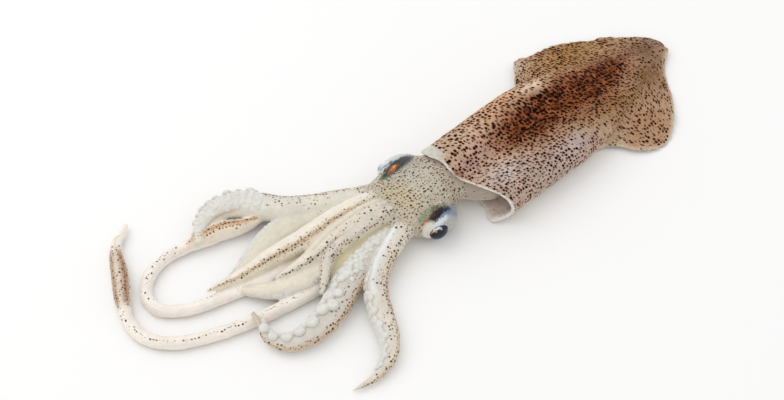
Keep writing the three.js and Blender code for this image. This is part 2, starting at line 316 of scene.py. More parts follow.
# A closed body from a grid wrapped round an axis. place(t, a) says where a point goes: t runs from 0 to 1
# along the body, and a is the angle round it, from -pi to pi. heart(t) is the middle that closes an end.
# The places are noted in samples with their flat skin coordinates, for the finished skin to find. The grid is
# the number of rows, the number of sides, and where the part's flat coordinates begin.
def loft(bm, samples, part, grid, place, heart):
    steps, sides, offset = grid
    corners = bmesh.ops.create_grid(bm, x_segments=steps + 2, y_segments=sides, size=1)["verts"]
    table = [[None] * (sides + 1) for _ in range(steps + 3)]
    for vertex in corners:
        row = round((vertex.co.x + 1) / 2 * (steps + 2))
        col = round((vertex.co.y + 1) / 2 * sides)
        t = clamp((row - 1) / steps)
        vertex.co = heart(t) if row in (0, steps + 2) else place(t, (col / sides - 0.5) * full)
        table[row][col] = vertex.co.copy()
    bmesh.ops.remove_doubles(bm, verts=corners, dist=1e-4)
    rings = table[1:-1]
    hearts = [sum(ring, Vector()) / len(ring) for ring in rings]
    along = 0.0
    for row, ring in enumerate(rings):
        along += (hearts[row] - hearts[row - 1]).length if row else 0.0
        lengths = [0.0]
        for a, b in zip(ring, ring[1:]):
            lengths.append(lengths[-1] + (b - a).length)
        after, before = rings[min(row + 1, steps)], rings[max(row - 1, 0)]
        for col, point in enumerate(ring):
            lengthways = after[col] - before[col]
            right, left = min(col + 1, sides), max(col - 1, 0)
            sideways = ring[right] - ring[left]
            pace = (min(row + 1, steps) - max(row - 1, 0)) / steps / max(lengthways.length, leastGap)
            turn = (right - left) / sides * full / max(sideways.length, leastGap)
            flat = (along + offset, lengths[col] - lengths[sides // 2] + offset)
            samples.append((
                point, part, row / steps, (col / sides - 0.5) * full, flat,
                lengthways.normalized(), sideways.normalized(), pace, turn,
            ))


# The middle line of a form whose section is a ring round it.
def middleOf(place):
    return lambda t: (place(t, 0) + place(t, math.pi)) / 2


# An object made from a bmesh, which is used up.
def newPiece(name, bm):
    mesh = bpy.data.meshes.new(name)
    bm.to_mesh(mesh)
    bm.free()
    piece = bpy.data.objects.new(name, mesh)
    scene.collection.objects.link(piece)
    return piece


crumbSize = 60  # a fused form with fewer points than this is a crumb


# Takes out the crumbs that fusing can leave, closed forms too small to be part of the skin.
def dropCrumbs(bm):
    left = set(bm.verts)
    crumbs = []
    while left:
        island = [left.pop()]
        for vertex in island:
            fresh = {edge.other_vert(vertex) for edge in vertex.link_edges} & left
            left -= fresh
            island += fresh
        if len(island) < crumbSize:
            crumbs += island
    bmesh.ops.delete(bm, geom=crumbs, context="VERTS")


# Fuses overlapping closed forms into one skin, through a block of fine cells, and rounds it off.
def fuse(name, bm, cell, rounds):
    piece = newPiece(name, bm)
    rough = piece.data
    remesh = piece.modifiers.new("fuse", "REMESH")
    remesh.mode = "VOXEL"
    remesh.voxel_size = cell
    fused = bpy.data.meshes.new_from_object(piece.evaluated_get(bpy.context.evaluated_depsgraph_get()))
    piece.modifiers.clear()
    piece.data = fused
    bpy.data.meshes.remove(rough)
    bm = bmesh.new()
    bm.from_mesh(fused)
    dropCrumbs(bm)
    everyWay = {"use_axis_x": True, "use_axis_y": True, "use_axis_z": True}
    for _ in range(rounds):
        bmesh.ops.smooth_vert(bm, verts=bm.verts, factor=0.5, **everyWay)
    bm.normal_update()
    return piece, bm


# Gives every point of a fused skin its relief, tint, spots and flat coordinates from the nearest sample, on
# the crown from the head's own. The sheen that the white room's reflection adds is taken off the tint.
def paintSkin(
    piece, bm, samples, relief, paint, sheen,
    onCrown=lambda point: False, squeeze=lambda across: across,
):
    trees = []
    for chosen in (lambda sample: True, lambda sample: sample[1] == "head"):
        trees.append(kdtree.KDTree(len(samples)))
        for i, sample in enumerate(samples):
            if chosen(sample):
                trees[-1].insert(sample[0], i)
        trees[-1].balance()
    tints = bm.verts.layers.float_color.new("tint")
    spots = bm.verts.layers.float_vector.new("spots")
    flats = bm.verts.layers.float_vector.new("skinAt")
    lifted = []
    for vertex in bm.verts:
        point = vertex.co.copy()
        found = trees[onCrown(point)].find(point)[1]
        near, part, t, a, flat, lengthways, sideways, pace, turn = samples[found]
        along, across = (point - near).dot(lengthways), (point - near).dot(sideways)
        t, a = clamp(t + along * pace), a + across * turn
        tint, amounts = paint(point, vertex.normal, part, t, a)
        vertex[tints] = (*[max(0.0, c - sheen) for c in tint], 1)
        vertex[spots] = amounts
        vertex[flats] = (flat[0] + along, squeeze(flat[1] + across), 0)
        lifted.append(point + vertex.normal * relief(point, part, t, a))
    for vertex, point in zip(bm.verts, lifted):
        point.z = max(point.z, 0.0)
        vertex.co = point * mm
    for face in bm.faces:
        face.smooth = True
    bm.to_mesh(piece.data)
    bm.free()


def finishPiece(piece, material):
    piece.data.materials.clear()
    piece.data.materials.append(material)
    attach(piece, "root")
    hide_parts("squid")
    piece.data.calc_loop_triangles()
    print(piece.name, "has", len(piece.data.loop_triangles), "triangles")


# How much of a soft patch shows at a point, seen from above: all of it at its middle.
def shareOf(middle, spread, x, y):
    return hill(x - middle[0], spread[0]) * hill(y - middle[1], spread[1])


# Soft patches of colour: middle, spread, colour, strength.
def patchwork(tint, x, y, patches):
    for middle, spread, colour, strength in patches:
        tint = tint.lerp(colour, strength * shareOf(middle, spread, x, y))
    return tint


restHeight = 0.4  # skin lower than this lies flat on the table


def facingDown(normal, steepness, onset):
    return smooth(-normal.z * steepness + onset)


# Low lumps in two sizes, each with its length and height.
def lumps(point, broad, fine, seed):
    finer = noise.noise(point / fine[0] + Vector((seed, 0, 0))) * fine[1]
    return noise.noise(point / broad[0]) * broad[1] + finer


# The mantle, with its wall open at the front, and the two fins
mantle = {
    "length": 141, "width": 52, "height": 22, "sunk": 1.6, "backLobe": 8.2, "mouthDepth": 25,
    "rimWall": 1.3, "deepWall": 2.3, "innerSunk": 0.5, "floorShare": 0.6, "backRound": 0.86,
    "bellyRound": 0.72, "bellyFlat": 0.7, "tailCrowding": 1.15, "cell": 0.55, "rounds": 4,
    "grid": (150, 96, 0.0), "lumps": (13, 0.35), "finLumps": (13, 0.5), "fineLumps": (3.5, 0.12),
    "half": profile([
        (-85, 0.495), (-62, 0.495), (-30, 0.5), (-8, 0.49), (12, 0.42), (34, 0.28), (54, 0.13),
        (66, 0.06), (72, 0.03),
    ]),
    "rise": profile([
        (-85, 0.97), (-62, 0.97), (-35, 1), (-8, 0.93), (14, 0.73), (36, 0.47), (56, 0.28), (72, 0.16),
    ]),
    # where the rim lies, by the angle from the back as a share of half a turn: below 0 is the far side
    "rim": profile([
        (-1, -61.3), (-0.75, -62), (-0.55, -64), (-0.42, -68.3), (-0.32, -70.6), (-0.22, -71),
        (-0.12, -70), (0, -71.3), (0.08, -68.8), (0.2, -64.2), (0.3, -61.2), (0.42, -59.6), (0.5, -59),
        (0.6, -60.2), (0.68, -62.8), (0.76, -66), (0.83, -65), (0.89, -62), (1, -61.3),
    ]),
    # how wide the bare collar is behind the rim
    "collar": profile([
        (-1, 3), (-0.6, 6), (-0.4, 9.2), (-0.3, 9.6), (-0.2, 8.8), (-0.12, 6), (-0.04, 1.8), (0.1, 1.5),
        (0.5, 2.4), (0.75, 2.8), (1, 3),
    ]),
}
tailX = mantle["length"] / 2
rimX = mantle["backLobe"] - mantle["length"] / 2

fins = {
    "nearFin": {
        "side": -1, "startX": -3, "marginZ": 1.4, "spots": 0.62, "paleEdge": 3.8, "stain": 0.0,
        "margin": profile([
            (-4, 21), (3, 23.5), (9, 29), (15, 37), (24, 41.6), (31, 41), (43, 32.4), (52, 22.4), (58, 13.4),
            (65, 6), (72, 1.5),
        ]),
    },
    "farFin": {
        "side": 1, "startX": -5, "marginZ": 2.6, "spots": 0.95, "paleEdge": 2.2, "stain": 0.25,
        "margin": profile([
            (-6, 21), (-2, 31), (3, 36.4), (9, 42.8), (18, 42), (28, 38.6), (40, 33.2), (47, 29.4),
            (53, 25.8), (61, 17.8), (69, 10.4), (72, 2),
        ]),
    },
}
finShape = {
    "pastTail": 0.6, "innerShare": 0.5, "rootShares": (0.55, 0.72), "thickness": 2.0,
    "thickening": (1.5, 0.75), "waveHeight": 0.8, "waveTurns": 0.21,
    "ripple": 0.5, "rippleLength": 5, "grid": (60, 64, 200.0),
}

# How far the dark stripe on the back lies from the midline, how wide it is and how strong.
stripe = {
    "middle": profile([(-60, -1), (-40, 0), (-20, 0.5), (5, 1), (25, 2), (38, 5.5), (50, 7)]),
    "half": profile([(-60, 6), (-42, 8.2), (-25, 10.4), (5, 11), (25, 9.4), (38, 7.5), (50, 6)]),
    "strength": profile([
        (-60, 0), (-50, 0.15), (-42, 0.55), (-30, 0.88), (0, 1), (20, 1), (36, 0.95), (43, 0.7), (50, 0.3),
        (58, 0),
    ]),
    "softness": 0.8, "gain": 1.2, "most": 0.92, "tint": rgb(154, 90, 48),
}
mantlePatches = [
    ((-52, 16), (16, 12), rgb(204, 180, 158), 0.75),
    ((-22, 20), (22, 10), rgb(216, 174, 140), 0.9),
    ((-62, -1), (10, 7), rgb(184, 156, 148), 0.8),
    ((-50, 2), (9, 5), rgb(176, 146, 138), 0.6),
    ((-52, -14), (12, 6), rgb(206, 198, 196), 0.85),
    ((-34, -23), (34, 9), rgb(184, 168, 160), 0.85),
    ((-14, -21), (12, 4), rgb(186, 174, 174), 0.8),
    ((2, -15), (12, 6), rgb(172, 146, 116), 0.8),
    ((-4, 16), (9, 5), rgb(243, 228, 202), 0.98),
    ((10, 16), (8, 5), rgb(176, 128, 88), 0.5),
    ((30, 28), (28, 16), rgb(172, 134, 84), 0.95),
    ((22, -14), (18, 7), rgb(141, 108, 66), 0.95),
    ((25, -30), (20, 12), rgb(182, 149, 116), 0.95),
    ((28, -27), (10, 6), rgb(170, 126, 100), 0.5),
    ((48, -8), (12, 9), rgb(138, 108, 76), 0.95),
    ((60, 4), (10, 10), rgb(126, 100, 80), 0.95),
    ((68, 6), (5, 6), rgb(158, 136, 124), 0.7),
    ((6, 39), (6, 6), rgb(212, 198, 178), 0.8),
    ((8, -27), (5, 4), rgb(206, 190, 160), 0.8),
]
backSkin = rgb(194, 164, 136)
finEdge = rgb(216, 200, 176)
paleRim = rgb(226, 221, 214)
collarSkin = rgb(208, 203, 191)
innerSkin = rgb(226, 208, 197)
undersideSkin = rgb(214, 202, 188)
# Two small tints at the rim: middle, spread, colour, strength.
collarStain = ((-67, 11), (2.5, 2.5), rgb(196, 152, 106), 0.5)
lobeStain = ((-69, 0), (2.6, 3), rgb(120, 84, 72), 0.7)
lilacPlace = ((-62, 0), (11, 8))
# Shares of big spots, small spots and stain, and how strongly the edges, the tail and the belly change them.
pigment = {
    "plain": (1.0, 0.45, 0.05), "tail": (0.55, 0.8), "tailFade": (44, 14), "inner": (0.05, 0.12, 0.0),
    "innerEdge": 0.03, "bareCollar": 0.55, "collarFade": 0.45, "lilacStain": 0.3, "finEdge": (0.7, 0.1),
    "finStain": 0.12, "finStainPlace": ((20, 30), (24, 12)), "belly": (1.6, 0.1), "bellyTint": 0.8,
    "bellyLoss": 0.75,
}


def rimAt(a):
    return mantle["rim"](a / math.pi)


# A point of the mantle's skin, or of its inner wall if wall isn't 0; a grows from the back to the near side.
def mantlePoint(x, a, r, wall):
    half = mantle["half"](x) * mantle["width"] - wall
    top = mantle["rise"](x) * mantle["height"] - wall
    bottom = wall - mantle["innerSunk"] if wall else -mantle["sunk"]
    y = -half * signedPower(math.sin(a), mantle["bellyRound"] if math.cos(a) < 0 else mantle["backRound"]) * r
    upright = mantle["bellyFlat"] if math.cos(a) < 0 else mantle["backRound"]
    z = (top + bottom) / 2 + (top - bottom) / 2 * signedPower(math.cos(a), upright) * r
    return Vector((x, y, z))


innerShare = 0.22  # the share of the mantle's rows that line the inside of its mouth


def mantlePlace(t, a):
    floor = rimX + mantle["mouthDepth"]
    if t < innerShare:
        share = t / innerShare
        x = mix(floor, rimAt(a), share)
        wall = mix(mantle["deepWall"], mantle["rimWall"], share)
        return mantlePoint(x, a, mix(mantle["floorShare"], 1, smooth(2 * share)), wall)
    share = (t - innerShare) / (1 - innerShare)
    return mantlePoint(mix(rimAt(a), tailX, 1 - (1 - share) ** mantle["tailCrowding"]), a, 1, 0)


def mantleHeart(t):
    return mantlePoint(rimX + mantle["mouthDepth"] if t == 0 else tailX, 0, 0, 0)


def finPlace(fin):
    def place(t, a):
        x = mix(fin["startX"], tailX + finShape["pastTail"], t)
        out = 0.5 + 0.5 * math.cos(a)
        inner = mantle["half"](x) * mantle["width"] * finShape["innerShare"]
        rootZ = mantle["rise"](x) * mantle["height"] * mix(*finShape["rootShares"], t)
        wave = finShape["waveHeight"] * math.sin(x * finShape["waveTurns"] + fin["side"]) * out**3
        ripple = noise.noise(Vector((x / finShape["rippleLength"], fin["side"] * 9, 0)))
        ripple = finShape["ripple"] * ripple * out**2
        half = finShape["thickness"] / 2 * mix(*finShape["thickening"], out)
        y = fin["side"] * mix(inner, max(fin["margin"](x) + ripple, inner + 1), out)
        return Vector((x, y, mix(rootZ, fin["marginZ"], smooth(out)) + wave + half * math.sin(a)))

    return place


# Spots on the far flank are drawn out round the body: by how much, and over how many millimetres.
drawnOut = (0.3, 30)


def squeezeSpots(across):
    most, reach = drawnOut
    return across * (1 - most * smooth(0.5 - across / reach))


def mantleRelief(point, part, t, a):
    if point.z < restHeight:
        return 0.0
    return lumps(point, mantle["lumps" if part == "mantle" else "finLumps"], mantle["fineLumps"], 7)


# Places with more or fewer spots than round them, in the order they are laid on: how much of the place shows
# at a point, and its shares of big and of small spots.
def spotFields(x, y, a):
    return (
        (shareOf(*lilacPlace, x, y), 0.75, 0.8),
        (shareOf((-4, 16), (7, 4.5), x, y), 0.38, 0.2),
        (fade(a, 0.95, 0.5) * fade(-x, 5, 10), 0.72, 0.3),
        (shareOf((-7, -20), (10, 4), x, y), 0.5, 0.4),
        (hill(x - 6, 7) * fade(-y, 14, 4), 0.4, 1.0),
    )


def paintFin(fin, x, y, tint, stain):
    rim = fade(fin["margin"](x), abs(y), fin["paleEdge"])
    stain = max(stain, pigment["finStain"] * rim, fin["stain"] * shareOf(*pigment["finStainPlace"], x, y))
    edgeTint, fewest = pigment["finEdge"]
    return tint.lerp(finEdge, (1 - rim) * edgeTint), fin["spots"] * rim, mix(fewest, 1.0, rim), stain


# The bare collar behind the rim, and the skin behind the collar.
def paintBack(x, y, a, tint, big, small, stain):
    width = mantle["collar"](a / math.pi)
    covered = fade(x - rimAt(a), pigment["bareCollar"] * width, pigment["collarFade"] * width)
    bare = paleRim.lerp(collarSkin, fade(width, 2, 3))
    tint = patchwork(bare, x, y, [collarStain]).lerp(tint, covered)
    tint = patchwork(tint, x, y, [lobeStain])
    big, small = big * covered, small * covered
    stain = max(stain * covered, pigment["lilacStain"] * shareOf(*lilacPlace, x, y))
    for share, bigThere, smallThere in spotFields(x, y, a):
        big, small = mix(big, bigThere, share), mix(small, smallThere, share)
    return tint, big, small, stain


def paintMantle(point, normal, part, t, a):
    x, y = point.x, point.y
    big, small, stain = pigment["plain"]
    dark = stripe["strength"](x) * hill(y - stripe["middle"](x), stripe["half"](x)) ** stripe["softness"]
    tint = patchwork(backSkin, x, y, mantlePatches)
    tint = tint.lerp(stripe["tint"], stripe["most"] * clamp(dark * stripe["gain"]))
    stain = max(stain, smooth(dark * stripe["gain"]) * stripe["most"])
    tail = fade(x, *pigment["tailFade"])
    bigThere, smallThere = pigment["tail"]
    big, small = mix(big, bigThere, tail), mix(mix(small, 1.0, dark), smallThere, tail)
    if part in fins:
        tint, big, small, stain = paintFin(fins[part], x, y, tint, stain)
    elif t < innerShare:
        tint = innerSkin.lerp(paleRim, smooth(1 - (innerShare - t) / pigment["innerEdge"]))
        return tint, pigment["inner"]
    else:
        tint, big, small, stain = paintBack(x, y, a, tint, big, small, stain)
    belly = facingDown(normal, *pigment["belly"])
    fewer = 1 - pigment["bellyLoss"] * belly
    tint = tint.lerp(undersideSkin, belly * pigment["bellyTint"])
    return tint, (big * fewer, small * fewer, stain * (1 - belly))


mantleLook = {
    "gloss": {
        "Subsurface Weight": 0.04, "Subsurface Scale": 0.001, "Coat Weight": 0.07, "Coat Roughness": 0.14,
        "Specular IOR Level": 0.0,
    },
    "sheen": 0.004,
    "mottle": [(90.0, 0.09), (420.0, 0.1)],
    "cloud": 210.0, "stain": [(20, 2, 0), (132, 62, 26)], "waver": 0.34, "fibre": 0.03,
    "grain": 900.0, "bump": 0.25, "dry": (0.34, 0.5),
    "layers": [
        {
            "amount": 1, "spacing": 1.2, "radius": (0.16, 0.44), "edge": 0.2, "strength": 0.9,
            "pale": (126, 58, 32), "dark": (70, 28, 12),
        },
        {
            "amount": 0, "spacing": 1.72, "radius": (0.38, 0.78), "edge": 0.22, "strength": 1.45,
            "pale": (66, 18, 8), "dark": (8, 0, 0), "halo": (0.34, (140, 82, 50), 0.55),
        },
        {
            "amount": 2, "spacing": 1.95, "radius": (0.6, 1.1), "edge": 0.4, "strength": 1.4,
            "pale": (44, 10, 2), "dark": (3, 0, 0),
        },
    ],
}


def makeMantle():
    bm = bmesh.new()
    samples = []
    loft(bm, samples, "mantle", mantle["grid"], mantlePlace, mantleHeart)
    for name, fin in fins.items():
        place = finPlace(fin)
        loft(bm, samples, name, finShape["grid"], place, middleOf(place))
    piece, bm = fuse("mantleSkin", bm, mantle["cell"], mantle["rounds"])
    paintSkin(piece, bm, samples, mantleRelief, paintMantle, mantleLook["sheen"], squeeze=squeezeSpots)
    finishPiece(piece, wetSkin("spottedSkin", mantleLook))


# The head, neck and funnel, the eyes' bulges, the eight arms and the two tentacles
head = {
    "width": 41, "height": 19, "round": 0.92, "neckEnd": -36, "front": -107, "grid": (56, 64, 0.0),
    "crownEdge": -101, "crownBack": -86, "crownSide": -2, "crownWaver": (4, 2.5),
    "lumps": (6, 0.3), "fineLumps": (2.4, 0.12), "calmness": 0.7,
    # where the neck begins and where the limbs leave the head, each with the length of the change
    "neckFade": (-71, 4), "rootFade": (-108, 12), "spots": (0.97, 0.6), "neckSpots": (0.16, 0.12),
    "middle": profile([
        (-108, 12), (-98, 11), (-88, 9.8), (-78, 10.6), (-72, 11.2), (-66, 7.4), (-59, 4), (-50, 2.4),
        (-34, 2),
    ]),
    "half": profile([
        (-108, 0.3), (-100, 0.41), (-92, 0.47), (-84, 0.485), (-77, 0.455), (-72.5, 0.395), (-69.5, 0.36),
        (-65, 0.42), (-59, 0.46), (-48, 0.41), (-34, 0.27),
    ]),
    "rise": profile([
        (-108, 0.29), (-100, 0.42), (-90, 0.5), (-80, 0.49), (-72, 0.41), (-69, 0.4), (-62, 0.44),
        (-34, 0.36),
    ]),
    "lift": profile([(-108, 7.6), (-88, 8.6), (-76, 8.8), (-69, 9.8), (-60, 10), (-34, 10)]),
}
# The middle of each end of the funnel, then its half width and half height there.
funnel = {"base": (-44, 3.5, 4, 9, 4.2), "end": (-80, 7, 2.6, 5.5, 2.8), "grid": (24, 32, 100.0)}
eyes = {
    "farEye": {"centre": (-81.8, 24.4, 9.4), "radii": (11, 8.6, 8.3), "lens": (-84.8, 30.2, 10.6)},
    "nearEye": {"centre": (-87.2, -4.3, 8.6), "radii": (11.2, 9.2, 8.5), "lens": (-91, -11.7, 8.8)},
}
eyeTurn = -0.14
eyePoles = (0.02, 0.98)  # the first and last ring are a little way in from the poles
eyeGrid = (28, 32, 130.0)


# A field of suckers, between two shares of the limb's length and two angles from straight up to the left.
# The radius tapers to a share of the first. They stand out, and lie apart along and across, by radii.
def cupField(start, end, low, high, radius, taper, stand=-0.45, along=1.7, across=1.85):
    return {
        "from": start, "to": end, "low": low, "high": high, "radius": radius, "taper": taper, "stand": stand,
        "along": along, "across": across,
    }


limbs = {}


# root, belly and tip are half widths, flat is height over width, and a club is where it starts and its half
# width. Stripes are tints with a low ridge, and bands are rows of spots. Both have their middle and width as
# angles, their start and end; then a stripe its tint, amount and ridge, a band its amount and share of big.
def addLimb(name, points, **looks):
    length, line = route(points)
    limbs[name] = {"length": length, "line": line, "stripes": [], "bands": [], "suckers": [], **looks}


addLimb(
    "outerFarArm", [
        (-88, 19.4, 8.6), (-107.6, 30, 6.8), (-120.8, 37.6, 5.8), (-132, 45, 5.6), (-139.6, 54, 5.6),
        (-146.6, 62, 5.6), (-154.8, 65.6, 5.8), (-163.4, 65.2, 6), (-170.4, 61, 6.2), (-174.6, 56.6, 6.4),
    ],
    root=5, belly=7.2, bellyAt=0.66, tip=1.5, flat=0.74, tint=rgb(214, 209, 197),
    stripes=[
        (-0.8, 0.2, 0.2, 0.64, rgb(186, 146, 110), 0.55, 0.1),
        (0.95, 0.16, 0.72, 0.96, rgb(196, 168, 124), 0.7, -0.2),
    ],
    bands=[(-0.8, 0.34, 0.16, 0.64, 1.1, 1), (-0.2, 0.6, 0.28, 0.58, 0.4, 1)],
    suckers=[
        cupField(0.64, 0.98, -1.5, -1.1, 2.4, 0.55, -0.05),
        cupField(0.6, 0.96, -0.8, 0.75, 1.9, 0.6, -0.5),
    ],
)
addLimb(
    "secondFarArm", [
        (-91, 19, 9), (-110, 28.4, 6.5), (-123, 34.2, 5.4), (-134, 37.6, 4.8), (-147, 37.8, 4.4),
        (-160, 35, 4), (-172, 33, 3.4), (-184, 33, 3),
    ],
    root=5, belly=6.6, bellyAt=0.6, tip=1, flat=0.56, tint=rgb(214, 207, 190),
    bands=[(0.2, 1.0, 0.1, 0.4, 0.1, 1)],
    suckers=[cupField(0.36, 0.8, -1.5, -1, 1.3, 0.6, -0.1), cupField(0.4, 0.94, -1, -0.5, 1, 0.6)],
)
addLimb(
    "longMiddleArm", [
        (-92, 15, 12), (-108, 21, 11.4), (-122, 24, 9.8), (-140, 25.4, 8.4), (-157, 28.2, 7.2),
        (-173, 30, 6.6), (-188.5, 33.4, 6.9),
    ],
    root=4.8, belly=5.4, bellyAt=0.5, tip=0.9, flat=0.86, tint=rgb(222, 213, 194),
    stripes=[
        (-0.6, 0.6, 0.12, 0.98, rgb(238, 231, 222), 0.9, 0.3),
        (0.46, 0.22, 0, 1, rgb(184, 144, 96), 0.6, 0.4),
    ],
    bands=[(0.46, 0.32, 0, 1, 1.4, 0.62), (0.95, 0.4, 0.4, 0.75, 0.6, 0.3)],
)
addLimb(
    "shortMiddleArm", [
        (-94, 11, 13), (-111, 15.6, 12.2), (-127, 16.6, 11), (-142, 15.6, 9.6), (-153, 16.2, 8.7),
        (-162, 18, 8),
    ],
    root=4.6, belly=4.8, bellyAt=0.5, tip=0.9, flat=0.85, tint=rgb(218, 210, 195),
    stripes=[
        (-0.2, 0.2, 0.1, 0.7, rgb(186, 172, 146), 0.4, -0.3),
        (0.8, 0.2, 0.5, 1, rgb(160, 122, 96), 0.4, 0.1),
    ],
    bands=[(0.8, 0.34, 0.45, 1, 1.1, 0.8), (0.6, 0.9, 0, 0.6, 0.35, 1)],
)
addLimb(
    "broadUnderArm", [
        (-97, 10, 8), (-122, 12.6, 6), (-140, 11, 4.8), (-153, 10.6, 4.4), (-164, 14.6, 4.4),
        (-172, 21.6, 4.2), (-177.5, 28.5, 4),
    ],
    root=5, belly=6.2, bellyAt=0.62, tip=1.2, flat=0.7, tint=rgb(219, 210, 194),
    suckers=[cupField(0.45, 0.92, 0.9, 1.6, 0.9, 0.6)],
)
addLimb(
    "bentNearArm", [
        (-95, 8, 13), (-108.4, 9.6, 12.4), (-121, 10.2, 11.6), (-131, 10.6, 10.8), (-138.6, 9, 10.3),
        (-145, 4, 9.4), (-152.4, -2.4, 8),
    ],
    root=4.4, belly=3.9, bellyAt=0.5, tip=1.3, flat=0.85, tint=rgb(206, 199, 187),
    stripes=[
        # The yellowish stripe on the arm's side by the web is painted shade of the gap between the arms.
        (0.6, 0.3, 0, 0.75, rgb(176, 150, 122), 0.3, 0.2), (1.7, 0.5, 0, 0.7, rgb(208, 196, 158), 1, 0),
    ],
    bands=[(0.6, 0.55, 0, 0.72, 0.95, 1), (1.1, 0.5, 0.6, 1, 1.05, 1), (-0.8, 0.5, 0.6, 1, 1, 1)],
)
addLimb(
    "curledNearArm", [
        (-97, 5, 7.4), (-112, 3.6, 6.6), (-126, 0.6, 6), (-141, -5.4, 5.4), (-153, -11.2, 4.8),
        (-167, -13.6, 4.2), (-178, -10.4, 3.7), (-182.8, -3, 4.2), (-181.6, 5, 6.8), (-181, 10.6, 8),
    ],
    root=5, belly=6.6, bellyAt=0.42, tip=0.9, flat=0.8, tint=rgb(204, 198, 187),
    stripes=[
        (1.3, 0.34, 0.32, 1, rgb(206, 168, 124), 0.7, 0.2),
        (-0.1, 0.4, 0.9, 1, rgb(198, 164, 126), 0.6, 0),
    ],
    bands=[(1.2, 0.5, 0.34, 0.9, 0.9, 1), (0.5, 0.6, 0.3, 0.62, 0.36, 1)],
    suckers=[
        cupField(0.1, 0.4, -1.5, 0.5, 1.25, 1.15, -0.2), cupField(0.36, 0.5, -1.6, 0, 2.1, 1.2, -0.15),
        cupField(0.48, 0.95, -1.25, 0, 3.3, 0.62, -0.05, along=1.32, across=2.3),
    ],
)
addLimb(
    "outerNearArm", [
        (-95, 1, 10), (-107, -1.6, 9), (-119, -6, 6.8), (-130, -13.4, 5.4), (-137.6, -25, 4.6),
        (-143.4, -37.6, 4), (-150.6, -44.8, 3.4), (-160.4, -47.4, 2.4), (-173, -45.6, 1.3),
    ],
    root=5.4, belly=5.2, bellyAt=0.5, tip=0.5, flat=0.8, tint=rgb(212, 205, 192),
    stripes=[
        (-0.35, 0.3, 0.1, 0.46, rgb(232, 236, 238), 0.9, 0.5),
        (1.1, 0.4, 0.2, 1, rgb(204, 172, 134), 0.6, 0.2),
    ],
    bands=[(0.9, 0.8, 0, 0.42, 0.95, 1), (1, 0.5, 0.3, 0.97, 0.95, 1), (0.1, 0.3, 0.55, 0.9, 0.4, 1)],
    suckers=[
        cupField(0.1, 0.46, -1.7, -0.8, 1.3, 1.4, -0.15),
        cupField(0.44, 0.86, -1.75, -0.3, 2.2, 0.5, -0.1),
    ],
)
# A web of flesh between the bent and curled near arms. Its yellowish, darker tint is painted shade: the
# translucent shade of the gap between them.
addLimb(
    "nearWeb",
    [(-99, 7, 9), (-112, 7.4, 9), (-122, 7, 8.6), (-131, 5.6, 8), (-138.4, 3.6, 7), (-143, 1.6, 6)],
    root=4, belly=4.4, bellyAt=0.5, tip=1.8, flat=0.55, tint=rgb(198, 187, 154),
)
addLimb(
    "loopedTentacle", [
        (-96, 16, 5), (-126, 17, 3.4), (-158, 22, 2.6), (-182, 28, 2.6), (-198, 33.2, 2.6),
        (-208.4, 42, 2.6), (-208.4, 50.6, 2.6), (-201.6, 58.6, 2.6), (-190, 62.4, 2.6), (-178, 60.6, 3.1),
        (-170, 58.6, 3.8), (-161, 56.4, 4), (-151.6, 51.8, 4.4), (-137.6, 48.6, 4.6),
    ],
    root=3, belly=2.9, tip=1, flat=1, club=(0.8, 4.5), tint=rgb(234, 226, 218),
    stripes=[
        (-0.7, 0.7, 0.78, 1, rgb(230, 216, 190), 0.7, 0),
        (0.1, 0.4, 0.8, 1, rgb(190, 140, 82), 0.85, 0.2),
    ],
    bands=[(0, 0.5, 0.79, 0.97, 1, 1), (-0.2, 0.6, 0.6, 0.78, 0.45, 1), (-0.6, 0.2, 0.3, 0.5, 0.6, 1)],
)
addLimb(
    "longTentacle", [
        (-100, 8, 5), (-126, 3, 3.2), (-150, 4, 2.7), (-178, 9, 2.7), (-200, 16, 2.7), (-214, 23.6, 2.7),
        (-222, 33.6, 2.7), (-222.4, 45, 2.7), (-218.2, 55.2, 3.2), (-211.3, 66, 3.8), (-204.3, 78.6, 3.4),
        (-199.8, 84.4, 2.8), (-195.6, 85.6, 2.6), (-190.8, 89.6, 2.4),
    ],
    root=3.2, belly=3, tip=1.5, flat=0.96, club=(0.75, 4.3), tint=rgb(232, 224, 214),
    stripes=[
        (0.85, 0.5, 0.76, 0.91, rgb(172, 136, 100), 0.85, -0.1),
        (-0.6, 0.6, 0.76, 0.91, rgb(168, 118, 72), 0.85, -0.1),
        (0.1, 0.16, 0.76, 0.97, rgb(220, 204, 182), 0.8, 0.4),
    ],
    bands=[
        (0, 0.16, 0.28, 0.46, 1, 1), (0.3, 0.18, 0.44, 0.7, 1, 1), (0.7, 0.5, 0.7, 0.78, 0.5, 1),
        (0.8, 0.5, 0.76, 0.92, 1.3, 0.6), (-0.6, 0.6, 0.76, 0.92, 1.4, 0.8),
    ],
)
headPatches = [
    ((-95, 12), (6, 15), rgb(193, 178, 140), 0.85),
    ((-100, -2), (6, 6), rgb(204, 192, 166), 0.7),
    ((-84, 19), (12, 4), rgb(168, 170, 160), 0.6),
    ((-73, 5), (4, 14), rgb(200, 184, 164), 0.6),
    ((-84, 0), (10, 3), rgb(184, 178, 158), 0.5),
]
